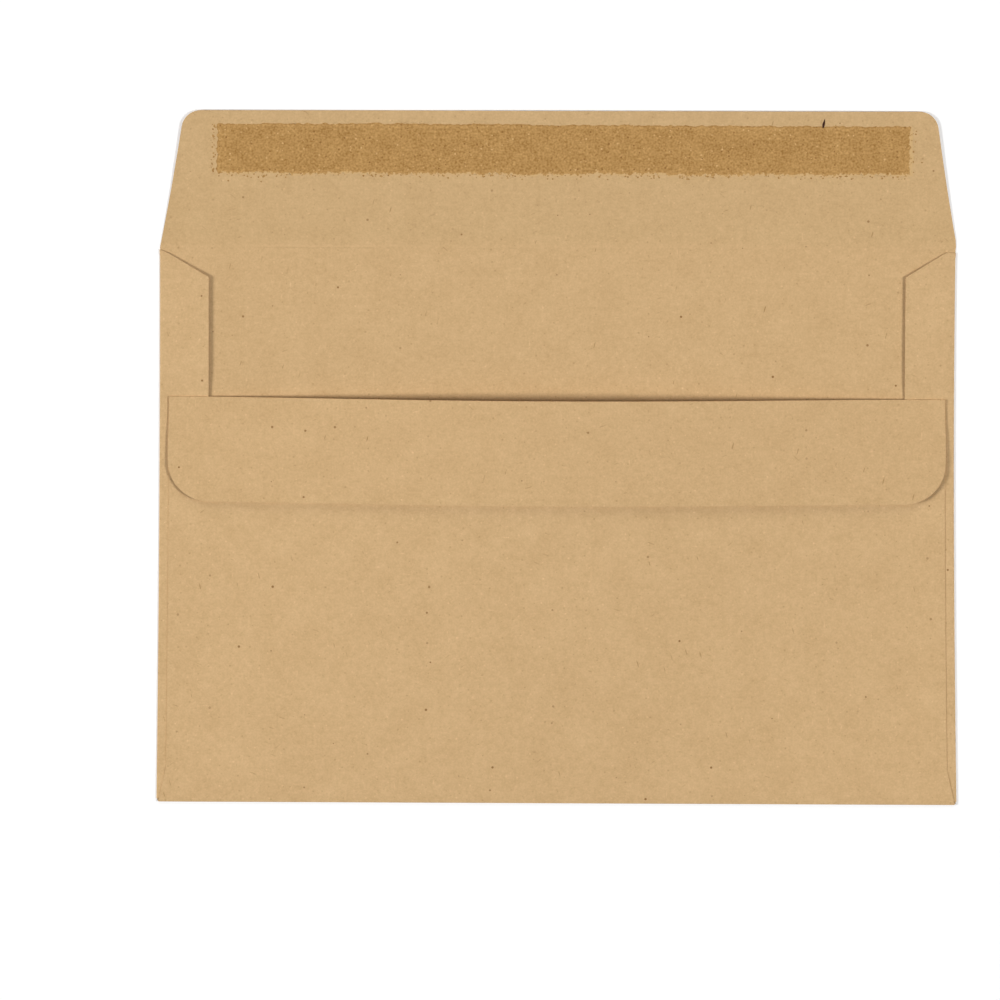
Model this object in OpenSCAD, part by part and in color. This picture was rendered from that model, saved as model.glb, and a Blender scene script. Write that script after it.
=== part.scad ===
// Self-seal wallet envelope folded from one sheet of manilla paper.
// It lies on its address side with the seal flap open, and the pocket gapes a little at its mouth.
// Sizes are millimetres. X runs along the width, Y towards the seal flap, and Z up from the surface
// that the envelope lies on. The origin is the centre of the address face.

/* [Envelope] */
// Width across the two side folds
envelope_w = 229; // [160:1:330]
// Height of the pocket from the bottom fold to the crease of the seal flap
envelope_h = 162; // [130:1:240]
// Thickness of the paper
paper_t = 0.12; // [0.08:0.01:0.2]
// Radius on the inside of each folded edge
fold_r = 0.08; // [0.06:0.01:0.3]

/* [Pocket] */
// How far the back panel bows up at the middle of the mouth
pocket_gape = 5.2; // [1:0.1:12]
// Distance between the mouth of the pocket and the edge of the seal flap when it is closed
mouth_clearance = 2.8; // [2:0.1:12]
// How far the side edges of the back panel stand in from the side folds
back_inset = 2.6; // [1:0.1:6]
// The same at the bottom fold, where the panel is widest
back_root_inset = 0.5; // [0.4:0.1:0.9]
// Height of the slanted shoulder between those two widths
back_shoulder_h = 10; // [4:0.5:20]

/* [Side flaps] */
// Width of each side flap from its fold to its free edge
side_flap_w = 14.1; // [12:0.1:25]
// Height of the slanted shoulder at each end of a side flap
side_shoulder_h = 7.6; // [3:0.2:15]
// Gap between each end of a side flap's fold and the next fold
corner_relief = 0.6; // [0.2:0.1:1.5]

/* [Tongue] */
// Margin between the tongue's gum strip and its free edge
tongue_margin = 9.3; // [4:0.1:20]
// Radius of its two free corners
tongue_r = 11.5; // [3:0.5:16]
// How far its free edge springs up from the back panel
tongue_lift = 0.9; // [0.2:0.1:4]

/* [Seal flap] */
// Depth of the seal flap from its crease to its free edge
flap_h = 40.5; // [30:0.5:50]
// How far each side of the flap tapers in towards its free edge
flap_taper = 6.8; // [1:0.1:20]
// Radius of its two free corners
flap_r = 5.6; // [2:0.2:12]
// How far its free edge stands above the surface that the envelope lies on
flap_rise = 0.6; // [0:0.1:12]

/* [Gum] */
// Width of the self-seal gum strip on the seal flap, along the crease
flap_gum_w = 198.8; // [120:0.1:220]
// Height of the gum strips, which meet when the envelope is sealed
gum_h = 13.9; // [8:0.1:20]
// Margin between the flap's gum strip and its free edge
gum_margin = 4.5; // [2:0.1:8]
// How far the flap's gum strip lies off the middle
gum_offset = 1.7; // [-4:0.1:4]
// Thickness of the dried gum on the two strips
gum_t = 0.06; // [0.02:0.01:0.15]
// Width of the gum line that joins each side flap to the back panel
seam_gum_w = 6; // [3:0.5:8]
// Thickness of that gum line
seam_gum_t = 0.06; // [0.02:0.01:0.15]

/* [Hidden] */
inner_paper = "#CDAB7E";
dried_gum = "#B48B54";
seam_gum = "#D9CBB0";

fold_steps = 8;
corner_steps = 6;
bow_steps = 12;
pocket_rows = 9;
// Rows closer than this are one row.
row_gap = 0.2;

half_w = envelope_w / 2;
half_h = envelope_h / 2;
crease_y = half_h;
// The bottom fold is wide enough inside to take a side flap and its gum line.
bottom_fold_r = fold_r + (paper_t + seam_gum_t) / 2;
// Where the flat front panel ends and its folds begin.
side_fold_x = half_w - fold_r - paper_t;
bottom_fold_y = -half_h + bottom_fold_r + paper_t;
// The closed seal flap reaches nearly to the mouth, where its gum meets the gum of the raised tongue.
throat_y = crease_y - flap_h - mouth_clearance;
tongue_gum_near_y = throat_y - mouth_clearance - gum_margin;
tongue_gum_far_y = tongue_gum_near_y - gum_h;
tongue_end_y = tongue_gum_far_y - tongue_margin;
// Where the back panel ends and the fold of the tongue begins.
throat_fold_y = throat_y - fold_r - paper_t;

side_edge_x = half_w - side_flap_w;
back_half_w = half_w - back_inset;
back_root_half_w = half_w - back_root_inset;
seam_centre_x = (back_half_w + side_edge_x) / 2;
// Across a seam the panels share these places, so their faces stay parallel.
seam_x = [side_edge_x, seam_centre_x - seam_gum_w / 2, seam_centre_x + seam_gum_w / 2, back_half_w];

flap_reach = sqrt(flap_h * flap_h - flap_rise * flap_rise);
flap_angle = atan2(flap_rise, flap_reach);
flap_end_y = crease_y + flap_reach;
flap_end_half_w = half_w - flap_taper;

// Heights of a panel's inner face where it leaves its fold.
side_flap_z = paper_t + 2 * fold_r;
back_panel_z = paper_t + 2 * bottom_fold_r;

function lerp(a, b, share) = a + (b - a) * share;
function clamp01(value) = max(0, min(1, value));
function reversed(list) = [for (i = [len(list) - 1 : -1 : 0]) list[i]];

// The bow of the pocket: full at the middle of the mouth, and level where the side folds hold it down.
function bow(x, y) =
    let (up = clamp01((y - bottom_fold_y) / (throat_fold_y - bottom_fold_y)))
    pocket_gape * pow(1 - pow(x / side_fold_x, 2), 2) * up * (2 - up);

// Rows of points that the back panel, the side flaps and the seams share.
first_row_y = bottom_fold_y + max(side_shoulder_h + corner_relief, back_shoulder_h) + 2;
shared_rows = [for (i = [0 : pocket_rows]) lerp(first_row_y, throat_fold_y, i / pocket_rows)];

// A solid sheet between two grids of points. Rows run along the fold that the panel hangs from, and
// columns away from it. Cells before the row mirror_from are cut along one diagonal, and the rest
// along the other.
module sheet(inner, outer, mirror_from = 1000) {
    rows = len(inner) - 1;
    columns = len(inner[0]) - 1;
    count = (rows + 1) * (columns + 1);
    points = concat([for (row = inner) each row], [for (row = outer) each row]);
    function at(i, j) = i * (columns + 1) + j;
    function cell(a, b, c, d, i) = i < mirror_from ? [[a, b, c], [a, c, d]] : [[a, b, d], [b, c, d]];
    function flip(faces) = [for (face = faces) reversed(face)];
    inner_faces = [for (i = [0 : rows - 1], j = [0 : columns - 1])
        each cell(at(i, j), at(i + 1, j), at(i + 1, j + 1), at(i, j + 1), i)];
    outer_faces = [for (face = flip(inner_faces)) [for (corner = face) corner + count]];
    rim = concat(
        [for (i = [0 : rows]) at(i, 0)],
        [for (j = [1 : columns]) at(rows, j)],
        [for (i = [rows - 1 : -1 : 0]) at(i, columns)],
        [for (j = [columns - 1 : -1 : 1]) at(0, j)]
    );
    rim_faces = [for (k = [0 : len(rim) - 1])
        let (a = rim[k], b = rim[(k + 1) % len(rim)])
        each [[a, a + count, b + count], [a, b + count, b]]];
    polyhedron(points, concat(inner_faces, outer_faces, rim_faces), convexity = 10);
}

// Front panel and seal flap: a strip with one shallow crease, cut to the outline of the two.
module front_panel_and_seal_flap() {
    crease_profile = [
        [bottom_fold_y, 0],
        [crease_y, 0],
        [flap_end_y, flap_rise],
        [flap_end_y, flap_rise + paper_t],
        [crease_y, paper_t],
        [bottom_fold_y, paper_t]
    ];
    intersection() {
        rotate([90, 0, 90])
            linear_extrude(2 * half_w, center = true)
                polygon(crease_profile);
        translate([0, 0, -1])
            linear_extrude(flap_rise + paper_t + 2)
                front_outline();
    }
}

// Outline of the front panel and the seal flap, with the flap's two round corners.
module front_outline() {
    slant = atan2(side_fold_x - flap_end_half_w, flap_reach);
    tangent = flap_r / tan((90 + slant) / 2);
    centre = [flap_end_half_w - tangent, flap_end_y - flap_r];
    side_point = [
        flap_end_half_w + tangent * sin(slant),
        flap_end_y - tangent * cos(slant)
    ];
    right_side = [
        [side_fold_x, bottom_fold_y],
        [side_fold_x, crease_y],
        side_point,
        [centre[0], flap_end_y]
    ];
    polygon(concat(right_side, [for (p = reversed(right_side)) [-p[0], p[1]]]));
    for (side = [-1, 1])
        translate([side * centre[0], centre[1]])
            circle(flap_r, $fn = 96);
}

// Half a turn of paper about a fold. It gives [distance out, height] for each step of the turn.
function turn(radius, centre_z) = [for (k = [0 : fold_steps])
    let (angle = 180 * k / fold_steps)
    [radius * sin(angle), centre_z - radius * cos(angle)]];

// Right side fold and side flap. Its rows run up the fold, and its columns round it and inwards.
flap_columns = reversed(seam_x);
side_low_y = bottom_fold_y + corner_relief;
side_high_y = crease_y - corner_relief;
side_top_row_y = side_high_y - side_shoulder_h - 2;
side_middle_rows = concat(shared_rows, [(throat_fold_y + side_top_row_y) / 2, side_top_row_y]);

function side_shoulder(x) = side_shoulder_h * (side_fold_x - x) / (side_fold_x - side_edge_x);
function side_row(x, i) =
    i == 0 ? side_low_y + side_shoulder(x) :
    i > len(side_middle_rows) ? side_high_y - side_shoulder(x) :
    side_middle_rows[i - 1];
function side_grid(turned_r, face_z) = [for (i = [0 : len(side_middle_rows) + 1]) concat(
    [for (p = turn(turned_r, paper_t + fold_r)) [side_fold_x + p[0], side_row(side_fold_x, i), p[1]]],
    [for (x = flap_columns) let (y = side_row(x, i)) [x, y, face_z + bow(x, y)]]
)];

module side_flap() {
    sheet(side_grid(fold_r, side_flap_z), side_grid(fold_r + paper_t, side_flap_z + paper_t));
}

// Bottom fold, back panel, fold of the mouth and tongue, as one strip. Its rows run along the
// width, and its columns from the bottom fold up to the mouth and back down the tongue.
middle_columns = [for (k = [1 : bow_steps - 1]) lerp(-side_edge_x, side_edge_x, k / bow_steps)];
width_shares = [for (x = concat([for (x = flap_columns) -x], middle_columns, seam_x)) x / back_half_w];

// The tongue's outline: straight sides, then a round corner. Its rows take in both edges of the gum.
tongue_corner_y = tongue_end_y + tongue_r;
tongue_corner_rows = [for (k = [0 : corner_steps]) tongue_corner_y - tongue_r * sin(90 * k / corner_steps)];
tongue_gum_rows = concat(
    [tongue_gum_near_y],
    [for (y = tongue_corner_rows) if (y < tongue_gum_near_y - row_gap && y > tongue_gum_far_y + row_gap) y],
    [tongue_gum_far_y]
);
tongue_rows = concat(
    [for (y = tongue_corner_rows) if (y > tongue_gum_near_y + row_gap) y],
    tongue_gum_rows,
    [for (y = tongue_corner_rows) if (y < tongue_gum_far_y - row_gap) y]
);

function tongue_half_w(y) =
    let (below = max(0, tongue_corner_y - y))
    back_half_w - tongue_r + sqrt(max(0, tongue_r * tongue_r - below * below));
function back_face_z(x, y, face) = back_panel_z + face * paper_t + bow(x, y);
// Height of the tongue's face towards the back panel, or of its upper face.
function tongue_face_z(x, y, face) =
    back_face_z(x, y, 1) + 2 * fold_r + face * paper_t
    + tongue_lift * (throat_fold_y - y) / (throat_fold_y - tongue_end_y);

function bottom_turn(x, face) =
    [for (p = turn(bottom_fold_r + face * paper_t, paper_t + bottom_fold_r)) [x, bottom_fold_y - p[0], p[1]]];
function mouth_turn(x, face) =
    let (centre_z = back_face_z(x, throat_fold_y, 1) + fold_r)
    [for (p = turn(fold_r + (1 - face) * paper_t, centre_z)) [x, throat_fold_y + p[0], p[1]]];
function tongue_column(share, rows, face, drop = 0) = [for (y = rows)
    let (x = share * tongue_half_w(y)) [x, y, tongue_face_z(x, y, 1 - face) - drop]];
function back_strip(face) = [for (share = width_shares)
    let (x = share * back_half_w, root_x = share * back_root_half_w)
    concat(
        bottom_turn(root_x, face),
        [for (y = concat([bottom_fold_y + back_shoulder_h], shared_rows)) [x, y, back_face_z(x, y, face)]],
        [for (k = [1 : fold_steps]) mouth_turn(x, face)[k]],
        tongue_column(share, tongue_rows, face)
    )];

module back_panel_and_tongue() {
    sheet(back_strip(0), back_strip(1), mirror_from = (len(width_shares) - 1) / 2);
}

// The whole folded sheet.
module folded_sheet() {
    color(inner_paper) {
        front_panel_and_seal_flap();
        side_flap();
        mirror([1, 0, 0]) side_flap();
        back_panel_and_tongue();
    }
}

// Gum strip on the inner face of the seal flap.
module flap_gum_strip() {
    color(dried_gum)
        translate([gum_offset, crease_y, paper_t])
            rotate([flap_angle, 0, 0])
                translate([-flap_gum_w / 2, flap_h - gum_margin - gum_h, 0])
                    cube([flap_gum_w, gum_h, gum_t]);
}

// Its partner under the tongue, between the two side flaps.
module tongue_gum_strip() {
    widest_share = side_edge_x / back_half_w + 0.0001;
    shares = [for (share = width_shares) if (abs(share) < widest_share) share];
    function strip(drop) = [for (share = shares) tongue_column(share, tongue_gum_rows, 1, drop)];
    color(dried_gum)
        sheet(strip(0), strip(gum_t), mirror_from = (len(shares) - 1) / 2);
}

// Gum line between a side flap and the back panel.
module seam_gum_right() {
    gum_x = [seam_x[2], seam_x[1]];
    gum_rows = [for (i = [0 : pocket_rows - 1]) shared_rows[i]];
    function line(z) = [for (y = gum_rows) [for (x = gum_x) [x, y, z + bow(x, y)]]];
    color(seam_gum)
        sheet(line(side_flap_z + paper_t), line(back_panel_z));
}

module seam_gum_left() {
    mirror([1, 0, 0]) seam_gum_right();
}

folded_sheet();
flap_gum_strip();
tongue_gum_strip();
seam_gum_left();
seam_gum_right();
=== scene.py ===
"""A self-seal wallet envelope in manilla paper, lying on its address side with its seal flap open.

The folded sheet and the gum are modelled again, finer than in the frame and with the small
unevenness of a real one. Lengths are in millimetres until a mesh is made.
"""

import math

import bmesh
import bpy
import numpy as np
from mathutils import Euler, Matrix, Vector


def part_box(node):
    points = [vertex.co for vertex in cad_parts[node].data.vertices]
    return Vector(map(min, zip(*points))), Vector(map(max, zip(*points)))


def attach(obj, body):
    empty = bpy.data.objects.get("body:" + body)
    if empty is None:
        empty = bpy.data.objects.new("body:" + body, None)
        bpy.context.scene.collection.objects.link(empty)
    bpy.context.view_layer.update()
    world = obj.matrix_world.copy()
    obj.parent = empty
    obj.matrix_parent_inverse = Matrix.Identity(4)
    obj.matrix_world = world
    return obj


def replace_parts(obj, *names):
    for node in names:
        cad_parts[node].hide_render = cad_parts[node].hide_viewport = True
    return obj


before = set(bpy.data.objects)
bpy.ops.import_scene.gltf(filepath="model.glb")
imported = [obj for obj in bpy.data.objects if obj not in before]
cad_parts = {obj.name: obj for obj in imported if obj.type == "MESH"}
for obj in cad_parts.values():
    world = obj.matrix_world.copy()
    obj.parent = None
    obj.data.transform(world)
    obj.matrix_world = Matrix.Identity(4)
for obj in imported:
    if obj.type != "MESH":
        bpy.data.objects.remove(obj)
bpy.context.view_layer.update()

# Sizes that the boxes of the frame's nodes don't give
MM = 0.001
PAPER_T = 0.12
FOLD_R = 0.08  # on the inside of a fold
SEAM_GUM_T = 0.06
BOTTOM_FOLD_R = FOLD_R + (PAPER_T + SEAM_GUM_T) / 2
GAPE = 5.2  # how high the back panel bows at the middle of the mouth
BACK_INSET = 2.6  # how far inside the side folds the back panel's sides lie
BACK_ROOT_INSET = 0.5  # the same at the bottom fold
BACK_SHOULDER_H = 10.0  # height over which the one becomes the other
SIDE_FLAP_W = 14.1
SIDE_SHOULDER_H = 7.6  # height that a side flap's slanted end takes up
CORNER_RELIEF = 0.6  # left free between a side flap and the crease or the bottom fold
GUM_MARGIN = 4.5  # from the seal flap's free edge to its gum
MOUTH_CLEARANCE = 2.8  # from the mouth to the free edge of the closed flap
TONGUE_MARGIN = 9.28  # from the tongue's gum to its free edge
TONGUE_R = 11.8
TONGUE_LIFT = 1.15  # how far the tongue's free edge stands off the back panel
FLAP_TAPER = 6.88  # how far the seal flap's sides run in towards its free edge
FLAP_R = 5.6
GUM_T = 0.06

# Unevenness of a real one, on the left (-1) and the right (1) where they differ
SIDE_SPRING = 0.3  # how far a side flap's free edge stands off the front panel
SIDE_WIDER = {-1: -0.1, 1: 0.15}  # how much wider each side flap was cut
SIDE_ASKEW = {-1: (0.25, 0.5), 1: (1.66, 1.2)}  # how far its upper end rises at the fold, then drops
SIDE_PULL = {-1: (0.5, 0.75, 0.2, -0.1), 1: (1.25, 0.68, 0.28, -0.48)}  # bend, half waves, slope, start
CREASE_HOLD = 0.2  # how much less the side folds are pulled in at the crease
FLAP_HOLD = 0.6  # the same on the right of the seal flap, from FLAP_HOLD_H past the crease on
FLAP_HOLD_H = 2.0
FLAP_LEAN = 0.006  # how far the seal flap leans to the right, for each mm of its height
FLAP_SKEW = 0.0022  # how far its free edge rises, for each mm to the right
FLAP_SHORT = 0.1  # how much shorter it is in its middle
FLAP_HOLLOW = 0.2  # how far its sides curve in
FLAP_WAVES = ((0.16, 31.0, 0.6), (0.1, 13.5, 2.0))  # height, length over 2 pi, and phase
TONGUE_FLARE = 0.28  # how much wider each side of the tongue gets
TONGUE_FLARE_H = 6.0  # how far below its fold that starts, and the height that it takes
TONGUE_SIDE_PRESS = 0.8  # share of the gap at its fold that the tongue's sides lack
TONGUE_SIDE_HOLD = 0.4  # share of its lift that they lack
BACK_EDGE_PRESS = 0.045  # how far the back panel's sides are pressed down beside the seam gum
BACK_EDGE_PRESS_W = 1.5  # width over which they are

# Fineness of the meshes
CELL = 2.0
TURN_STEPS = 12
CORNER_STEPS = 10
CORNER_RISE = np.sin(np.linspace(0, math.pi / 2, CORNER_STEPS + 1))
GUM_CELL = 0.3


def box_mm(node):
    """The lowest and highest corner of a node of the frame, in millimetres."""
    low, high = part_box(node)
    return np.array(low) / MM, np.array(high) / MM


# Places, worked out from the frame
sheet_low, sheet_high = box_mm("folded_sheet")
half_w = sheet_high[0]
bottom_y = sheet_low[1]
crease_y = -bottom_y
flap_end_y = sheet_high[1]
flap_gum_low, flap_gum_high = box_mm("flap_gum_strip")
tongue_gum_low, tongue_gum_high = box_mm("tongue_gum_strip")
seam_gum_high_x = box_mm("seam_gum_right")[1][0]

side_fold_x = half_w - FOLD_R - PAPER_T
side_edge_x = half_w - SIDE_FLAP_W
back_half_w = half_w - BACK_INSET
back_root_half_w = half_w - BACK_ROOT_INSET
bottom_fold_y = bottom_y + BOTTOM_FOLD_R + PAPER_T
mouth_y = tongue_gum_high[1] + MOUTH_CLEARANCE + GUM_MARGIN
mouth_fold_y = mouth_y - FOLD_R - PAPER_T
tongue_end_y = tongue_gum_low[1] - TONGUE_MARGIN
side_low_y = bottom_fold_y + CORNER_RELIEF
side_high_y = crease_y - CORNER_RELIEF
side_flap_z = PAPER_T + 2 * FOLD_R
back_panel_z = PAPER_T + 2 * BOTTOM_FOLD_R
flap_reach = flap_end_y - crease_y
flap_rise = flap_gum_high[2] - PAPER_T - GUM_T
flap_slope = flap_rise / (flap_gum_high[1] - crease_y)


def steps(start, end, longest=CELL):
    """Evenly spaced places from start to end, no further apart than longest."""
    return np.linspace(start, end, max(2, math.ceil(abs(end - start) / longest) + 1))


def bow(x, y):
    """Height that the gaping pocket adds: most at the middle of its mouth, and level at its folds."""
    up = np.clip((y - bottom_fold_y) / (mouth_fold_y - bottom_fold_y), 0, 1)
    return GAPE * (1 - (x / side_fold_x) ** 2) ** 2 * up * (2 - up)


def flap_z(x, y):
    """Height of the seal flap's outer face, which rises from the crease and is a little wavy."""
    along = np.clip((y - crease_y) / flap_reach, 0, 1)
    wave = sum(high * np.sin(x / length + phase) for high, length, phase in FLAP_WAVES)
    return flap_slope * np.maximum(y - crease_y, 0) + wave * along**2


def tongue_z(x, y, face):
    """Height of the tongue's face towards the back panel (0), or of its upper face (1). Its two
    sides lie closer to the panel than its middle."""
    along = (mouth_fold_y - y) / (mouth_fold_y - tongue_end_y)
    side = (x / back_half_w) ** 8
    # The sides are pressed together from a little past the fold on.
    at_fold = 2 * FOLD_R * (1 - TONGUE_SIDE_PRESS * side * np.minimum(25 * along, 1))
    lifted = TONGUE_LIFT * along * (1 - TONGUE_SIDE_HOLD * side)
    return back_panel_z + bow(x, y) + PAPER_T + (at_fold + lifted) + face * PAPER_T


def spring(across, y):
    """How far a side flap's free edge stands off the front panel above the mouth of the pocket."""
    free = np.clip((y - mouth_y) / (crease_y - mouth_y), 0, 1)
    return SIDE_SPRING * across**0.45 * np.minimum(6 * free, 1)


def grid_quads(rows, columns, first=0):
    """The faces of a grid whose points are numbered row by row."""
    index = np.arange(rows * columns).reshape(rows, columns) + first
    corners = (index[:-1, :-1], index[1:, :-1], index[1:, 1:], index[:-1, 1:])
    return np.stack([c.ravel() for c in corners], 1)


class Sheet:
    """One sheet of paper, put together from grids of points on its inner and outer face."""

    def __init__(self):
        self.inner, self.outer, self.blank, self.quads = [], [], [], []
        self.count = 0

    def add(self, inner, outer, blank):
        """Adds a grid. blank gives each point's place on the unfolded sheet."""
        rows, columns = inner.shape[:2]
        self.quads.append(grid_quads(rows, columns, self.count))
        for kept, points in ((self.inner, inner), (self.outer, outer), (self.blank, blank)):
            kept.append(points.reshape(rows * columns, -1))
        self.count += rows * columns

    def solid(self):
        """Welds the grids and closes the rim. Gives points, faces, places on the unfolded sheet, and
        the faces' kinds: 0 for the paper's two faces and 1 for its cut rim."""
        inner, outer, blank = (np.concatenate(g) for g in (self.inner, self.outer, self.blank))
        _, first, welded = np.unique(np.round(inner, 4), axis=0, return_index=True, return_inverse=True)
        quads = welded.ravel()[np.concatenate(self.quads)]
        inner, outer, blank = inner[first], outer[first], blank[first]
        count = len(inner)
        edges = np.concatenate([quads[:, [k, (k + 1) % 4]] for k in range(4)])
        _, where, uses = np.unique(np.sort(edges, 1), axis=0, return_index=True, return_counts=True)
        rim = edges[where[uses == 1]]
        rim_quads = np.stack([rim[:, 1], rim[:, 0], rim[:, 0] + count, rim[:, 1] + count], 1)
        faces = np.concatenate([quads, quads[:, ::-1] + count, rim_quads])
        kinds = np.repeat([0, 1], [2 * len(quads), len(rim_quads)])
        return np.concatenate([inner, outer]), faces, np.concatenate([blank, blank]), kinds


def turn(radius):
    """Half a turn of paper about a fold: distances out and heights from the fold's centre, and
    lengths along the paper for its pattern."""
    angle = np.linspace(0, math.pi, TURN_STEPS + 1)
    return radius * np.sin(angle), -radius * np.cos(angle), angle * (FOLD_R + PAPER_T / 2)


def grid(x, y, z):
    """Points from coordinates that are spread over each other's rows and columns."""
    return np.stack(np.broadcast_arrays(x, y, z), -1)


def flap_half_w(y):
    """Half the width of the front panel and seal flap at a height, with the flap's round corners."""
    slant = math.atan2(side_fold_x - (half_w - FLAP_TAPER), flap_reach)
    straight = side_fold_x - np.maximum(y - crease_y, 0) * math.tan(slant)
    centre_x = half_w - FLAP_TAPER - FLAP_R / math.tan((math.pi / 2 + slant) / 2)
    above = np.clip(y - (flap_end_y - FLAP_R), 0, FLAP_R)
    round_corner = centre_x + np.sqrt(FLAP_R**2 - above**2)
    tangent_y = flap_end_y - FLAP_R + FLAP_R * math.sin(slant)
    hollow = FLAP_HOLLOW * np.sin(np.clip((y - crease_y) / (tangent_y - crease_y), 0, 1) * math.pi)
    return np.where(y > tangent_y, round_corner, straight - hollow)


def tongue_half_w(y):
    """Half the width of the tongue at a height, with its round corners. It flares below the mouth."""
    below = np.clip(tongue_end_y + TONGUE_R - y, 0, TONGUE_R)
    flare = TONGUE_FLARE * np.clip((mouth_fold_y - y - TONGUE_FLARE_H) / TONGUE_FLARE_H, 0, 1)
    return back_half_w + flare - TONGUE_R + np.sqrt(TONGUE_R**2 - below**2)


def add_front_and_seal_flap(sheet, width_x, side_y):
    """Front panel and seal flap, as one grid from the bottom fold up to the flap's free edge."""
    corner_y = flap_end_y - FLAP_R + FLAP_R * CORNER_RISE
    # The rows lie closer where the flap starts to rise.
    crease = crease_y + np.array([-0.25, 0, 0.25, 0.6, 1.2])
    flap_y = steps(crease[-1], corner_y[0])[1:-1]
    y = np.concatenate([[bottom_fold_y], side_y, crease, flap_y, corner_y])
    x = width_x[None, :] / side_fold_x * flap_half_w(y)[:, None]
    y = y[:, None]
    z = flap_z(x, y)
    sheet.add(grid(x, y, z + PAPER_T), grid(x, y, z), grid(x, y, 0)[..., :2])


def add_side_flap(sheet, side, side_y):
    """A side fold and its side flap, on the left (-1) or the right (1)."""
    flap_x = steps(side_fold_x, side_edge_x - SIDE_WIDER[side], CELL / 2)[1:]
    share = (side_y - side_low_y) / (side_high_y - side_low_y)
    across = (side_fold_x - flap_x) / (side_fold_x - flap_x[-1])
    low_y = side_low_y + SIDE_SHOULDER_H * across
    # The upper end rises within a sixth of the flap's width, and drops all the way across.
    rise, drop = SIDE_ASKEW[side]
    askew = rise * np.minimum(6 * across, 1) - drop * across
    high_y = side_high_y - SIDE_SHOULDER_H * across + askew
    flap_y = low_y + share[:, None] * (high_y - low_y)
    faces = []
    for radius, face_z in ((FOLD_R, side_flap_z), (FOLD_R + PAPER_T, side_flap_z + PAPER_T)):
        out, up, arc = turn(radius)
        fold = grid(side_fold_x + out, side_y[:, None], PAPER_T + FOLD_R + up)
        flap = grid(flap_x, flap_y, face_z + bow(flap_x, flap_y) + spring(across, flap_y))
        faces.append(np.concatenate([fold, flap], 1) * [side, 1, 1])
    u = np.concatenate([side_fold_x + arc, side_fold_x + arc[-1] + side_fold_x - flap_x])
    blank = grid(side * u, faces[0][..., 1], 0)[..., :2]
    sheet.add(*faces, blank)


def add_back_and_tongue(sheet, width_x):
    """Bottom fold, back panel, fold of the mouth and tongue, as one grid from bottom to tongue."""
    share = width_x / back_root_half_w
    corner_y = tongue_end_y + TONGUE_R - TONGUE_R * CORNER_RISE
    back_y = np.concatenate([
        steps(bottom_fold_y, bottom_fold_y + BACK_SHOULDER_H)[1:],
        steps(bottom_fold_y + BACK_SHOULDER_H, mouth_fold_y)[1:],
    ])
    tongue_y = np.concatenate([steps(mouth_fold_y, corner_y[0])[1:-1], corner_y])
    spread = np.clip((back_y - bottom_fold_y) / BACK_SHOULDER_H, 0, 1)
    back_w = back_root_half_w + (back_half_w - back_root_half_w) * spread
    back_x = share * back_w[:, None]
    mouth_x = share * back_half_w
    tongue_x = share * tongue_half_w(tongue_y)[:, None]
    faces = []
    for face in (0, 1):
        out, up, arc = turn(BOTTOM_FOLD_R + face * PAPER_T)
        bottom = grid(width_x, (bottom_fold_y - out)[:, None], (PAPER_T + BOTTOM_FOLD_R + up)[:, None])
        past_gum = np.clip((np.abs(back_x) - seam_gum_high_x) / BACK_EDGE_PRESS_W, 0, 1)
        pressed = BACK_EDGE_PRESS * past_gum * spread[:, None]
        back_z = back_panel_z + face * PAPER_T + bow(back_x, back_y[:, None]) - pressed
        back = grid(back_x, back_y[:, None], back_z)
        out, up, _ = turn(FOLD_R + (1 - face) * PAPER_T)
        centre_z = back_panel_z + PAPER_T + bow(mouth_x, mouth_fold_y) + FOLD_R
        mouth = grid(mouth_x, (mouth_fold_y + out)[1:, None], centre_z + up[1:, None])
        tongue = grid(tongue_x, tongue_y[:, None], tongue_z(tongue_x, tongue_y[:, None], 1 - face))
        faces.append(np.concatenate([bottom, back, mouth, tongue]))
    back_v = bottom_fold_y - arc[-1] - (back_y - bottom_fold_y)
    tongue_v = back_v[-1] - arc[-1] - (mouth_fold_y - tongue_y)
    v = np.concatenate([bottom_fold_y - arc, back_v, back_v[-1] - arc[1:], tongue_v])
    blank = grid(faces[0][..., 0], v[:, None], 0)[..., :2]
    sheet.add(*faces, blank)


def settle(points):
    """Moves points sideways as on a real one. The gaping pocket pulls its side folds in, more on the
    right than on the left and less at the crease, and the seal flap is folded a little askew."""
    points = points.copy()
    x, y = points[:, 0].copy(), points[:, 1].copy()
    along = np.clip((y - bottom_y) / (crease_y - bottom_y), 0, 1)
    left, right = (
        bend * np.sin(turns * math.pi * along) + slope * along + start
        for bend, turns, slope, start in (SIDE_PULL[-1], SIDE_PULL[1])
    )
    at_crease = np.exp(-np.minimum(y - crease_y, 0) ** 2)
    pull = np.where(x > 0, right, left) - CREASE_HOLD * at_crease
    above = np.maximum(y - crease_y, 0)
    held = FLAP_HOLD * np.minimum(above / FLAP_HOLD_H, 1) * (x > 0)
    points[:, 0] = x * (1 - (pull - held) / half_w) + FLAP_LEAN * above
    points[:, 1] = y + (FLAP_SKEW * x - FLAP_SHORT) * above / flap_reach
    return points


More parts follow.
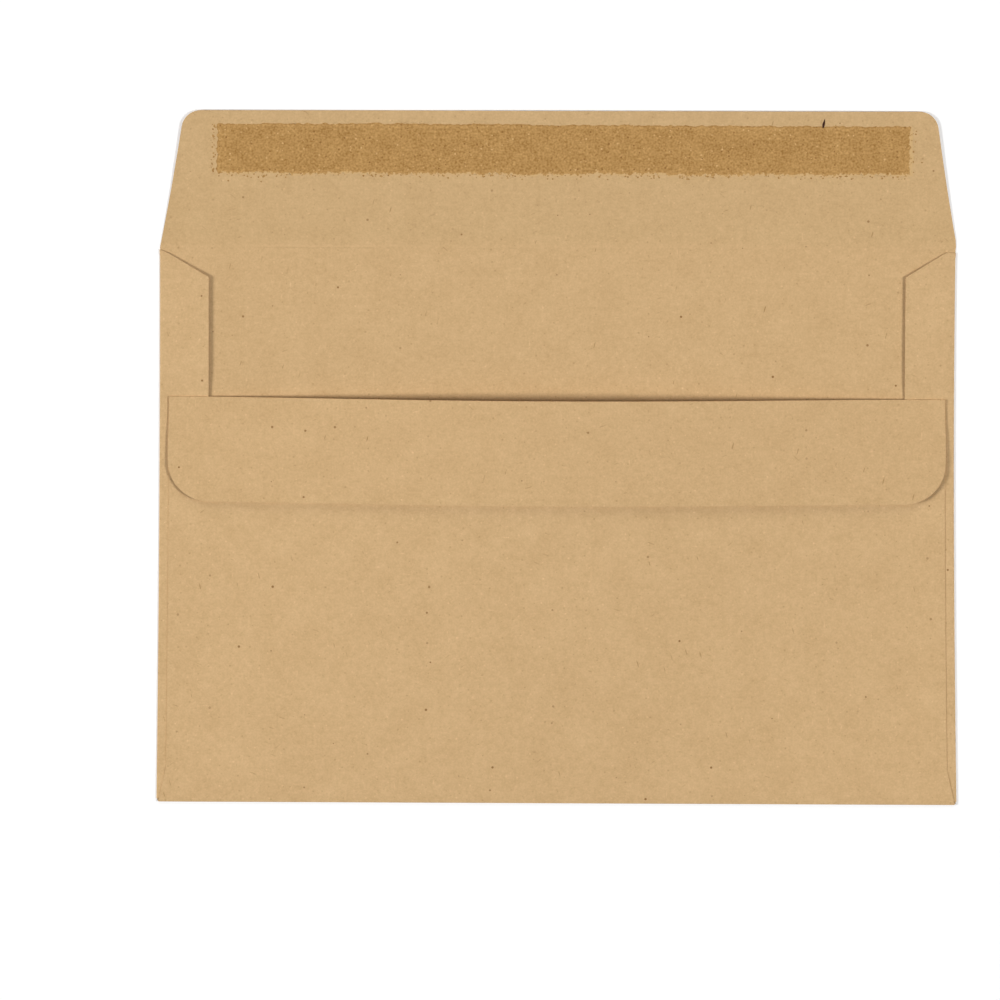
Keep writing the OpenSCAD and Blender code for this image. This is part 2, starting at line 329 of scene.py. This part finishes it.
def new_piece(name, points, faces, materials, kinds=None, attributes=()):
    """Makes a mesh object from points in millimetres, with its normals outwards."""
    mesh = bpy.data.meshes.new(name)
    mesh.from_pydata((points * MM).tolist(), [], [list(map(int, f)) for f in faces])
    for key, kind, field, values in attributes:
        layer = mesh.attributes.new(key, kind, "POINT")
        layer.data.foreach_set(field, np.asarray(values, np.float32).ravel())
    if kinds is not None:
        mesh.polygons.foreach_set("material_index", np.asarray(kinds, np.int32))
    turned = bmesh.new()
    turned.from_mesh(mesh)
    bmesh.ops.recalc_face_normals(turned, faces=turned.faces)
    turned.to_mesh(mesh)
    turned.free()
    mesh.polygons.foreach_set("use_smooth", np.ones(len(mesh.polygons), bool))
    mesh.set_sharp_from_angle(angle=math.radians(50))
    for material in materials:
        mesh.materials.append(material)
    piece = bpy.data.objects.new(name, mesh)
    bpy.context.scene.collection.objects.link(piece)
    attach(piece, "root")
    return piece


def folded_sheet(materials):
    """The whole envelope: one sheet, folded five times."""
    sheet = Sheet()
    width_x = steps(-back_root_half_w, back_root_half_w)
    front_x = np.concatenate([[-side_fold_x], width_x, [side_fold_x]])
    side_y = steps(side_low_y, side_high_y)
    add_front_and_seal_flap(sheet, front_x, side_y)
    for side in (-1, 1):
        add_side_flap(sheet, side, side_y)
    add_back_and_tongue(sheet, width_x)
    points, faces, blank, kinds = sheet.solid()
    outer_face = np.repeat([0.0, 1.0], len(points) // 2)
    # The outer face lies 60 mm deeper in the noises, so that it has a mottle of its own.
    flat = np.concatenate([blank, 60 * outer_face[:, None]], 1)
    attributes = [
        ("blank_mm", "FLOAT_VECTOR", "vector", flat),
        ("outer_face", "FLOAT", "value", outer_face),
    ]
    settled = settle(points)
    piece = new_piece("envelope_paper", settled, faces, materials, kinds, attributes)
    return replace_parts(piece, "folded_sheet")


def value_noise(x, y, size, seed):
    """Smooth noise from -1 to 1 with features of that size, on a lattice that repeats."""
    count, first = 256, 64
    lattice = np.random.default_rng(seed).uniform(-1, 1, (count + 1, count + 1))
    i, j = x / size + first, y / size + first
    i0, j0 = np.floor(i).astype(int), np.floor(j).astype(int)
    a, b = (t * t * (3 - 2 * t) for t in (i - i0, j - j0))
    i0, j0 = i0 % count, j0 % count
    low = lattice[i0, j0] * (1 - a) + lattice[i0 + 1, j0] * a
    high = lattice[i0, j0 + 1] * (1 - a) + lattice[i0 + 1, j0 + 1] * a
    return low * (1 - b) + high * b


def ragged(places, parts):
    """How far a ragged line strays at places along it: noises of (reach, size, seed), added up."""
    return sum(reach * value_noise(places, 0 * places, size, seed) for reach, size, seed in parts)


def film_edges(s, t, width, height, seed):
    """How far inside the ragged outline of a gum strip each place lies. The wet gum ran past the
    even plate on every side, and over its top more on the left than on the right."""
    past_top, past_low, past_start, past_end = 0.55, 0.45, 0.55, 0.15
    top = height + past_top * np.clip(0.75 - s / width, 0, 1)
    top += ragged(s, ((0.16, 16, seed), (0.2, 1.3, seed + 1), (0.16, 0.6, seed + 8)))
    low = ragged(s, ((0.2, 5, seed + 2), (0.4, 0.7, seed + 3))) - past_low
    left = ragged(t, ((0.35, 1.1, seed + 4),)) - width / 2 - past_start
    right = ragged(t, ((0.35, 1.1, seed + 5),)) + width / 2 + past_end
    return np.minimum(np.minimum(top - t, t - low), np.minimum(s - left, right - s))


def gum_film(width, height, seed):
    """A grainy film with a ragged outline: points (along, across, height), faces, and places (along,
    across, how far inside the outline)."""
    margin = 4 * GUM_CELL
    s, t = np.meshgrid(
        steps(-width / 2 - margin, width / 2 + margin, GUM_CELL),
        steps(-margin, height + margin, GUM_CELL),
        indexing="ij",
    )
    inside = film_edges(s, t, width, height, seed)
    quads = grid_quads(*s.shape)
    s, t, inside = s.ravel(), t.ravel(), inside.ravel()
    quads = quads[(inside[quads] > 0).any(1)]
    # Grid points outside the outline move onto it, towards their neighbours inside.
    moved = np.zeros((s.size, 3))
    for k in range(4):
        a, b = quads[:, k], quads[:, (k + 1) % 4]
        for out, near in ((a, b), (b, a)):
            crossing = (inside[out] <= 0) & (inside[near] > 0)
            out, near = out[crossing], near[crossing]
            share = inside[out] / (inside[out] - inside[near])
            new_s = s[out] + share * (s[near] - s[out])
            new_t = t[out] + share * (t[near] - t[out])
            np.add.at(moved, out, np.stack([new_s, new_t, np.ones(len(out))], 1))
    shifted = moved[:, 2] > 0
    s[shifted], t[shifted] = (moved[shifted, :2] / moved[shifted, 2:]).T
    quads = quads[((inside[quads] > 0) | shifted[quads]).all(1)]
    # The film is about a third to nine tenths as thick as the even plate, and ends in nothing.
    grain = 0.5 * value_noise(s, t, 0.9, seed + 6) + 0.5 * value_noise(s, t, 0.6, seed + 7)
    amount = np.where(inside > 0, np.clip(0.62 + 0.3 * grain, 0.12, 1), 0)
    used, quads = np.unique(quads, return_inverse=True)
    quads = quads.reshape(-1, 4)
    s, t, amount, inside = s[used], t[used], amount[used], np.maximum(inside[used], 0)
    solid = amount > 0
    under = np.where(solid, np.cumsum(solid) - 1 + len(s), np.arange(len(s)))
    top = np.stack([s, t, GUM_T * amount], 1)
    low = np.stack([s[solid], t[solid], 0 * s[solid]], 1)
    faces = np.concatenate([quads, under[quads][:, ::-1]])
    flat = np.stack([s, t, inside], 1)
    return np.concatenate([top, low]), faces, np.concatenate([flat, flat[solid]])


def gum_drops(width, height, seed):
    """Specks of gum thrown off the wheel: most below the strip, a row of them along its left end,
    where the gum first touched, and a few past its right end."""
    rng = np.random.default_rng(seed)
    below = [(rng.uniform(-width, width) / 2, -0.4 - rng.exponential(0.4)) for _ in range(190)]
    start = [(-width / 2 - rng.normal(1.6, 0.25), rng.uniform(-0.6, height + 0.8)) for _ in range(30)]
    end = [(width / 2 + rng.exponential(0.9), rng.uniform(-1, height + 0.5)) for _ in range(10)]
    sides, thick = 8, 0.75 * GUM_T
    points, faces = [], []
    for s, t in below + start + end:
        radius = rng.uniform(0.1, 0.32)
        stretch, lean = rng.uniform(0.7, 1.3), rng.uniform(0, math.pi)
        angle = np.arange(sides) * 2 * math.pi / sides
        first = len(points)
        for share, lift in ((1.0, 0.0), (0.6, 0.7)):
            along, across = share * radius * np.cos(angle) * stretch, share * radius * np.sin(angle)
            drop_s = s + along * math.cos(lean) - across * math.sin(lean)
            drop_t = t + along * math.sin(lean) + across * math.cos(lean)
            points += [(a, b, thick * lift) for a, b in zip(drop_s, drop_t)]
        points += [(s, t, thick), (s, t, 0.0)]
        top, low = first + 2 * sides, first + 2 * sides + 1
        for k in range(sides):
            a, b = first + k, first + (k + 1) % sides
            faces += [(a, b, b + sides, a + sides), (a + sides, b + sides, top), (b, a, low)]
    return np.array(points), faces


def gum_strip(name, node, width, height, place, seed, material):
    """A strip of dried gum with its stray drops, laid on the paper by place(along, across, height)."""
    film, film_faces, film_flat = gum_film(width, height, seed)
    drops, drop_faces = gum_drops(width, height, seed + 20)
    faces = film_faces.tolist() + [[i + len(film) for i in f] for f in drop_faces]
    points = np.concatenate([film, drops])
    # The place along and across the strip, and how far inside its outline: -1 on the drops.
    flat = np.concatenate([film_flat, drops * [1, 1, 0] - [0, 0, 1]])
    attributes = [("gum_mm", "FLOAT_VECTOR", "vector", flat)]
    laid = settle(place(*points.T))
    piece = new_piece(name, laid, faces, [material], attributes=attributes)
    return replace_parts(piece, node)


def on_seal_flap(along, across, height):
    """Places on the inner face of the seal flap, which lies up."""
    x = along + (flap_gum_low[0] + flap_gum_high[0]) / 2
    y = across + flap_gum_low[1]
    return np.stack([x, y, flap_z(x, y) + PAPER_T + height], 1)


def under_tongue(along, across, height):
    """Places on the face of the tongue that lies down."""
    y = across + tongue_gum_low[1]
    return np.stack([along, y, tongue_z(along, y, 0) - height], 1)


def bark_sliver(material):
    """A dark sliver of bark in the paper, across the upper edge of the flap's gum strip. Its ends are
    blunt, and its lower end is the fatter one."""
    length, width, thickness, sunk = 2.7, 0.66, 0.09, 0.01
    centre_x, centre_y, lean = 75.75, flap_end_y - 3.45, math.radians(79)
    rings, sides = 9, 8
    points, faces = [], []
    for i in range(rings):
        share = i / (rings - 1)
        fat = math.sin(math.pi * min(max(share, 0.04), 0.96)) ** 0.6 * (1.15 - 0.5 * share)
        for k in range(sides):
            angle = 2 * math.pi * k / sides
            along = (share - 0.5) * length
            across = 0.5 * width * fat * math.cos(angle)
            x = centre_x + along * math.cos(lean) - across * math.sin(lean)
            y = centre_y + along * math.sin(lean) + across * math.cos(lean)
            up = 0.5 * thickness * fat * (1 + math.sin(angle))
            z = flap_z(x, y) + PAPER_T + GUM_T + up - sunk
            points.append((x, y, z))
    for i in range(rings - 1):
        for k in range(sides):
            a, b = i * sides + k, i * sides + (k + 1) % sides
            faces.append((a, b, b + sides, a + sides))
    faces += [tuple(range(sides)), tuple(range((rings - 1) * sides, rings * sides))]
    return new_piece("bark_sliver", np.array(points), faces, [material])


def linear(hex_colour):
    """An sRGB hex colour as linear red, green, blue and alpha."""
    parts = [int(hex_colour[k : k + 2], 16) / 255 for k in (1, 3, 5)]
    return [c / 12.92 if c <= 0.04045 else ((c + 0.055) / 1.055) ** 2.4 for c in parts] + [1.0]


def new_material(name):
    """An empty material, with its node tree."""
    material = bpy.data.materials.new(name)
    material.use_nodes = True
    material.node_tree.nodes.clear()
    return material, material.node_tree


def add(tree, kind, inputs=None, **settings):
    """Adds a node with its settings, and links or sets its inputs, by name or by number. MapRange
    maps input 0 from the range 1 to 2 onto 3 to 4, and Mix goes from colour 6 to colour 7 by input 0."""
    node = tree.nodes.new("ShaderNode" + kind)
    for key, value in settings.items():
        setattr(node, key, value)
    for key, value in (inputs or {}).items():
        if isinstance(value, bpy.types.NodeSocket):
            tree.links.new(value, node.inputs[key])
        else:
            node.inputs[key].default_value = value
    return node


def weighed(tree, parts):
    """The sum of (noise, weight) pairs, each noise counted from its middle."""
    total = 0.0
    for noise, weight in parts:
        total = add(tree, "Math", {0: noise, 1: weight, 2: total}, operation="MULTIPLY_ADD").outputs[0]
    middle = sum(weight for _, weight in parts) / 2
    return add(tree, "Math", {0: total, 1: middle}, operation="SUBTRACT").outputs[0]


def flecks(tree, where, spacing_mm, radius_mm, share, stretch=1.0, turn_deg=0.0):
    """A mask of scattered flecks: one cell in each spacing, of which that share holds a fleck. They
    are half to all of that radius, and some are fainter than others."""
    turned = add(tree, "Mapping", {
        "Vector": where,
        "Rotation": (0, 0, math.radians(turn_deg)),
        "Scale": (stretch, 1, 1),
    }, vector_type="TEXTURE").outputs[0]
    cells = add(tree, "TexVoronoi", {"Vector": turned, "Scale": 1 / spacing_mm}, voronoi_dimensions="2D")
    pick = add(tree, "SeparateColor", {0: cells.outputs["Color"]})
    held = add(tree, "Math", {0: pick.outputs[0], 1: 1 - share}, operation="GREATER_THAN").outputs[0]
    largest = radius_mm / spacing_mm
    reach = add(tree, "MapRange", {0: pick.outputs[1], 3: 0.45 * largest, 4: largest})
    near = add(tree, "Math", {0: cells.outputs["Distance"], 1: reach.outputs[0]}, operation="DIVIDE")
    soft = add(tree, "MapRange", {0: near.outputs[0], 1: 0.65, 2: 1.1, 3: 1.0, 4: 0.0}).outputs[0]
    shade = add(tree, "MapRange", {0: pick.outputs[2], 3: 0.35, 4: 1.0}).outputs[0]
    seen = add(tree, "Math", {0: soft, 1: held}, operation="MULTIPLY").outputs[0]
    return add(tree, "Math", {0: seen, 1: shade}, operation="MULTIPLY").outputs[0]


def manilla_paper(name, inner_hex, outer_hex, flap_shaded_hex):
    """Unbleached recycled manilla, 90 g/m2, machine-finished and not coated: matt, with a soft cloudy
    formation, fine fibre mottle and scattered flecks of bark and straw. Its outer face is a shade
    lighter than its inner one. The seal flap gets painted shade a little past its crease, and the crease
    gets a painted highlight on its ridge and painted shade in its groove."""
    material, tree = new_material(name)
    where = add(tree, "Attribute", attribute_name="blank_mm").outputs["Vector"]
    outer = add(tree, "Attribute", attribute_name="outer_face").outputs["Fac"]
    # Single fibres are 0.03 mm wide, too fine to show, so their grain is drawn 0.6 mm wide. Tufts of
    # them are 1.7 mm and the clouds of the formation 9 mm wide, as in such paper.
    fibre, mottle, formation = (
        add(tree, "TexNoise", {
            "Vector": where, "Scale": 1 / size_mm, "Detail": detail, "Roughness": 0.6,
        }).outputs[0]
        for size_mm, detail in ((0.6, 1.0), (1.7, 2.0), (9.0, 2.0))
    )
    change = weighed(tree, [(fibre, 0.3), (mottle, 0.28), (formation, 0.19)])
    # Dark and pale specks of 0.3 to 0.7 mm, and bundles of fibres that lie in five directions. These
    # are 1 to 2.4 mm long and really 0.1 mm wide, and are drawn up to 0.4 mm wide so that they show.
    specks = [
        (flecks(tree, where, spacing_mm=3.0, radius_mm=0.34, share=0.5), -0.2),
        (flecks(tree, where, spacing_mm=3.4, radius_mm=0.34, share=0.45), 0.17),
    ]
    for turn_deg, strength in ((20, -0.24), (75, -0.4), (140, -0.18), (5, 0.16), (95, 0.16)):
        bundles = flecks(
            tree, where, spacing_mm=4.5, radius_mm=0.2, share=0.2, stretch=6.0, turn_deg=turn_deg,
        )
        specks.append((bundles, strength))
    for mask, strength in specks:
        change = add(tree, "Math", {0: mask, 1: strength, 2: change}, operation="MULTIPLY_ADD").outputs[0]
    # Painted highlight of the crease's ridge, a pale band past it, and painted shade of its groove, a
    # thin dark line at it, both strongest on a stretch left of the middle.
    shaded_crease_x, shaded_crease_half_w, shaded_crease_fade_w = -68.8, 15.0, 2.5
    across, height, _ = add(tree, "SeparateXYZ", {0: where}).outputs
    beside = add(tree, "Math", {0: across, 1: shaded_crease_x}, operation="SUBTRACT").outputs[0]
    beside = add(tree, "Math", {0: beside}, operation="ABSOLUTE").outputs[0]
    shaded_crease = add(tree, "MapRange", {
        0: beside, 1: shaded_crease_half_w, 2: shaded_crease_half_w + shaded_crease_fade_w, 3: 1.0, 4: 0.0,
    }).outputs[0]
    # The first row is the painted highlight of the ridge, the second the painted shade of the groove.
    for offset_mm, half_mm, least, most in ((0.65, 0.6, 0.02, 0.055), (0.1, 0.28, -0.015, -0.085)):
        away = add(tree, "Math", {0: height, 1: crease_y + offset_mm}, operation="SUBTRACT").outputs[0]
        away = add(tree, "Math", {0: away}, operation="ABSOLUTE").outputs[0]
        band = add(tree, "MapRange", {0: away, 1: 0.0, 2: half_mm, 3: 1.0, 4: 0.0}).outputs[0]
        strength = add(tree, "MapRange", {0: shaded_crease, 3: least, 4: most}).outputs[0]
        change = add(tree, "Math", {0: band, 1: strength, 2: change}, operation="MULTIPLY_ADD").outputs[0]
    # Painted shade: the seal flap, which tilts up from its crease, is a shade darker from a little past
    # it on.
    past = add(tree, "MapRange", {0: height, 1: crease_y - 0.2, 2: crease_y + 4.0}).outputs[0]
    base = linear(inner_hex)
    for mask, tint in ((past, flap_shaded_hex), (outer, outer_hex)):
        base = add(tree, "Mix", {0: mask, 6: base, 7: linear(tint)}, data_type="RGBA").outputs[2]
    # Red changes least and blue most, so pale fibres are a little greyer and dark ones browner.
    factors = {0: change, 1: (0.8, 0.95, 1.25), 2: (1, 1, 1)}
    tinted = add(tree, "VectorMath", factors, operation="MULTIPLY_ADD").outputs[0]
    colour = add(tree, "VectorMath", {0: base, 1: tinted}, operation="MULTIPLY").outputs[0]
    # Flecks of bark are 0.4 to 0.8 mm wide, one in about 500 mm2.
    bark_flecks = flecks(tree, where, spacing_mm=9.0, radius_mm=0.42, share=0.16)
    mixed = {0: bark_flecks, 6: colour, 7: linear("#8C6638")}
    colour = add(tree, "Mix", mixed, data_type="RGBA").outputs[2]
    relief = weighed(tree, [(fibre, 0.7), (mottle, 0.5)])
    bump = add(tree, "Bump", {"Height": relief, "Strength": 0.35, "Distance": 0.03 * MM}).outputs[0]
    shader = add(tree, "BsdfPrincipled", {
        "Base Color": colour, "Roughness": 0.88, "IOR": 1.5, "Specular IOR Level": 0.25, "Normal": bump,
    })
    add(tree, "OutputMaterial", {"Surface": shader.outputs[0]})
    return material


def streaked(name, dark_hex, pale_hex, size_mm, detail, roughness, specular):
    """A plain material whose colour wanders between two, in streaks of that size."""
    material, tree = new_material(name)
    where = add(tree, "TexCoord").outputs["Object"]
    streaks = add(tree, "TexNoise", {"Vector": where, "Scale": 1 / (size_mm * MM), "Detail": detail})
    mixed = {0: streaks.outputs[0], 6: linear(dark_hex), 7: linear(pale_hex)}
    colour = add(tree, "Mix", mixed, data_type="RGBA").outputs[2]
    shader = add(tree, "BsdfPrincipled", {
        "Base Color": colour, "Roughness": roughness, "IOR": 1.5, "Specular IOR Level": specular,
    })
    add(tree, "OutputMaterial", {"Surface": shader.outputs[0]})
    return material


def cut_paper_edge():
    """Manilla where it was die-cut: pale torn fibres, rougher than its faces. Their ends are 0.03 mm
    wide and are drawn 0.3 mm wide."""
    return streaked("die_cut_manilla_edge", "#CBAA7D", "#E0C69E",
                    size_mm=0.3, detail=1.0, roughness=0.95, specular=0.2)


def dried_seam_gum():
    """Dextrin seam gum, pressed between two layers: a thin straw-coloured film, smooth and with
    streaks of 1.5 mm."""
    return streaked("dried_dextrin_seam_gum", "#C9B48C", "#DCCBA8",
                    size_mm=1.5, detail=2.0, roughness=0.5, specular=0.5)


def bark():
    """A shive: a splinter of bark that the pulping left whole, nearly black, with a coarse dry grain
    of 0.4 mm."""
    return streaked("dark_bark_shive", "#2B1512", "#46291F",
                    size_mm=0.4, detail=1.0, roughness=0.9, specular=0.15)


def dried_latex_gum(name, thin_hex, thick_hex, bare_hex, width, height):
    """Natural rubber latex, rolled on wet and dried in the air: an amber film full of grains and
    pinholes, with a dull satin gloss. It dried with a thin darker line along its outline and a paler
    band inside that. The paper shows through where it is starved, at its lower edge and right end."""
    material, tree = new_material(name)
    place = add(tree, "Attribute", attribute_name="gum_mm").outputs["Vector"]
    along, across, inside = add(tree, "SeparateXYZ", {0: place}).outputs
    where = add(tree, "VectorMath", {0: place, 1: (1, 1, 0)}, operation="MULTIPLY").outputs[0]
    # Grains of latex are about 0.2 mm wide, and are drawn 0.6 mm wide so that they show. Clots of
    # them are 1 mm wide, patches of thicker gum 5 mm, and pits that the paper shows through 0.75 mm.
    grain, clots, patches, pits = (
        add(tree, "TexNoise", {
            "Vector": where, "Scale": 1 / size_mm, "Detail": detail, "Roughness": 0.6,
        }).outputs[0]
        for size_mm, detail in ((0.6, 0.6), (1.0, 1.0), (5.0, 2.0), (0.75, 1.0))
    )
    tone = weighed(tree, [(grain, 1.25), (clots, 0.75), (patches, 0.65)])
    line = add(tree, "MapRange", {0: inside, 1: 0.2, 2: 0.6, 3: 0.12, 4: -0.16}).outputs[0]
    fade = add(tree, "MapRange", {0: inside, 1: 0.6, 2: 1.2, 3: 0.0, 4: 0.16}).outputs[0]
    for part in (line, fade):
        tone = add(tree, "Math", {0: tone, 1: part}, operation="ADD").outputs[0]
    depth = add(tree, "Math", {0: tone, 1: 0.5}, operation="ADD", use_clamp=True).outputs[0]
    pale_grains = flecks(tree, where, spacing_mm=1.5, radius_mm=0.34, share=0.12)
    dark_grains = flecks(tree, where, spacing_mm=1.8, radius_mm=0.34, share=0.25)
    # The film is starved within 1.1 mm of its lower edge and 2 mm of its right end. Its top, its
    # left end and the drops are left out.
    start_x, end_x = -width / 2, width / 2
    reach = add(tree, "MapRange", {0: along, 1: end_x - 4, 2: end_x, 3: 1.1, 4: 2.0}).outputs[0]
    starved = add(tree, "MapRange", {0: inside, 1: 0.0, 2: reach, 3: 0.62, 4: 0.0}).outputs[0]
    low = add(tree, "MapRange", {0: across, 1: height - 1.4, 2: height - 0.6, 3: 1.0, 4: 0.0}).outputs[0]
    left = add(tree, "MapRange", {0: along, 1: start_x, 2: start_x + 1.5}).outputs[0]
    film = add(tree, "Math", {0: inside, 1: -0.5}, operation="GREATER_THAN").outputs[0]
    end = add(tree, "MapRange", {0: along, 1: end_x - 1.5, 2: end_x - 0.5}).outputs[0]
    reached = add(tree, "Math", {0: low, 1: end}, operation="MAXIMUM").outputs[0]
    for part in (reached, left, film):
        starved = add(tree, "Math", {0: starved, 1: part}, operation="MULTIPLY").outputs[0]
    holes = add(tree, "Math", {0: pits, 1: starved}, operation="ADD").outputs[0]
    bare = add(tree, "MapRange", {0: holes, 1: 0.78, 2: 0.92}).outputs[0]
    colour = linear(thin_hex)
    tints = (depth, thick_hex), (pale_grains, "#D0AA72"), (dark_grains, "#835825"), (bare, bare_hex)
    for mask, tint in tints:
        colour = add(tree, "Mix", {0: mask, 6: colour, 7: linear(tint)}, data_type="RGBA").outputs[2]
    bump = add(tree, "Bump", {"Height": grain, "Strength": 0.5, "Distance": 0.05 * MM}).outputs[0]
    shader = add(tree, "BsdfPrincipled", {
        "Base Color": colour, "Roughness": 0.62, "IOR": 1.52, "Specular IOR Level": 0.35, "Normal": bump,
    })
    add(tree, "OutputMaterial", {"Surface": shader.outputs[0]})
    return material


def seen_directly(tree):
    """1 for what the camera sees directly, in a mirror or through glass, and 0 for lighting."""
    path = add(tree, "LightPath")
    ray = path.outputs["Is Camera Ray"]
    for kind in ("Is Glossy Ray", "Is Transmission Ray"):
        ray = add(tree, "Math", {0: ray, 1: path.outputs[kind]}, operation="MAXIMUM").outputs[0]
    return ray


def white_floor():
    """A white table top, lifted to paper white for the camera, which still takes shadows."""
    material, tree = new_material("white_table")
    diffuse = add(tree, "BsdfDiffuse", {"Color": linear("#F3F3F3")}).outputs[0]
    lift = 0.16
    strength = add(tree, "Math", {0: seen_directly(tree), 1: lift}, operation="MULTIPLY").outputs[0]
    glow = add(tree, "Emission", {"Color": linear("#FFFFFF"), "Strength": strength}).outputs[0]
    both = add(tree, "AddShader", {0: diffuse, 1: glow}).outputs[0]
    add(tree, "OutputMaterial", {"Surface": both})
    bpy.ops.mesh.primitive_plane_add(size=6, location=(0, 0, -0.02 * MM))
    floor = bpy.context.object
    floor.name = "white_table_top"
    floor.data.materials.append(material)


def softbox(name, azimuth_deg, elevation_deg, share, size_m, distance_m=3.0):
    """A lamp that gives a level surface that share of full light. Azimuth 0 is from +X, 90 from +Y.
    size_m is its length along the table and its height."""
    lamp = bpy.data.lights.new(name, "AREA")
    lamp.shape = "RECTANGLE"
    lamp.size, lamp.size_y = size_m
    lamp.energy = share * (math.pi * distance_m) ** 2 / math.sin(math.radians(elevation_deg))
    source = bpy.data.objects.new(name, lamp)
    azimuth, elevation = math.radians(azimuth_deg), math.radians(elevation_deg)
    towards = Vector((
        math.cos(elevation) * math.cos(azimuth),
        math.cos(elevation) * math.sin(azimuth),
        math.sin(elevation),
    ))
    source.location = towards * distance_m
    source.rotation_euler = towards.to_track_quat("Z", "Y").to_euler()
    bpy.context.scene.collection.objects.link(source)


def light_the_scene():
    """Two softboxes left and right, a weaker one behind the flap, and a dim white room."""
    softbox("softbox_left", azimuth_deg=181, elevation_deg=30, share=0.42, size_m=(0.8, 0.8))
    softbox("softbox_right", azimuth_deg=-1, elevation_deg=42, share=0.43, size_m=(0.8, 0.7))
    softbox("reflector_behind", azimuth_deg=90, elevation_deg=26, share=0.145, size_m=(2.8, 1.6))
    world = bpy.data.worlds.new("white_room")
    bpy.context.scene.world = world
    world.use_nodes = True
    tree = world.node_tree
    tree.nodes.clear()
    ambient = 0.02
    strength = add(tree, "MapRange", {0: seen_directly(tree), 3: ambient, 4: 1.0}).outputs[0]
    background = add(tree, "Background", {"Color": linear("#FFFFFF"), "Strength": strength})
    add(tree, "OutputWorld", {"Surface": background.outputs[0]})


def place_camera():
    """The photograph's view: from above with a very long lens, tilted a little from the flap's side."""
    frame_px = 1000
    mm_per_px = 0.2866
    centre_x_px, crease_y_px = 557.22, 249.12
    tilt, roll = math.radians(-11.4), math.radians(0.26)
    distance, sensor = 12000.0, 36.0
    aim_x = (frame_px / 2 - centre_x_px) * mm_per_px
    aim_y = crease_y - (frame_px / 2 - crease_y_px) * mm_per_px / math.cos(tilt)
    data = bpy.data.cameras.new("camera")
    data.sensor_width = sensor
    data.lens = sensor * distance / (frame_px * mm_per_px)
    data.clip_end = 100
    camera = bpy.data.objects.new("camera", data)
    camera.location = Vector((aim_x, aim_y - distance * math.sin(tilt), distance * math.cos(tilt))) * MM
    camera.rotation_euler = Euler((tilt, 0, 0))
    camera.rotation_euler.rotate_axis("Z", roll)
    bpy.context.scene.collection.objects.link(camera)
    bpy.context.scene.camera = camera


place_camera()
light_the_scene()
white_floor()

# The last colour is the inner face's with painted shade in it, for the tilted seal flap.
paper = manilla_paper("recycled_manilla_paper", "#CDAA7B", "#CFAC7D", "#CAA879")
flap_gum_w, flap_gum_h, _ = flap_gum_high - flap_gum_low
tongue_gum_w, tongue_gum_h, _ = tongue_gum_high - tongue_gum_low
latex = dried_latex_gum("dried_latex_gum", "#C59B5E", "#8F652A", "#CDA974", flap_gum_w, flap_gum_h)
folded_sheet([paper, cut_paper_edge()])
gum_strip("flap_gum", "flap_gum_strip", flap_gum_w, flap_gum_h, on_seal_flap, 11, latex)
gum_strip("tongue_gum", "tongue_gum_strip", tongue_gum_w, tongue_gum_h, under_tongue, 51, latex)
bark_sliver(bark())
seam = dried_seam_gum()
for side in ("left", "right"):
    seam_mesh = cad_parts["seam_gum_" + side].data
    seam_mesh.materials.clear()
    seam_mesh.materials.append(seam)

bpy.context.scene.view_settings.view_transform = "Standard"
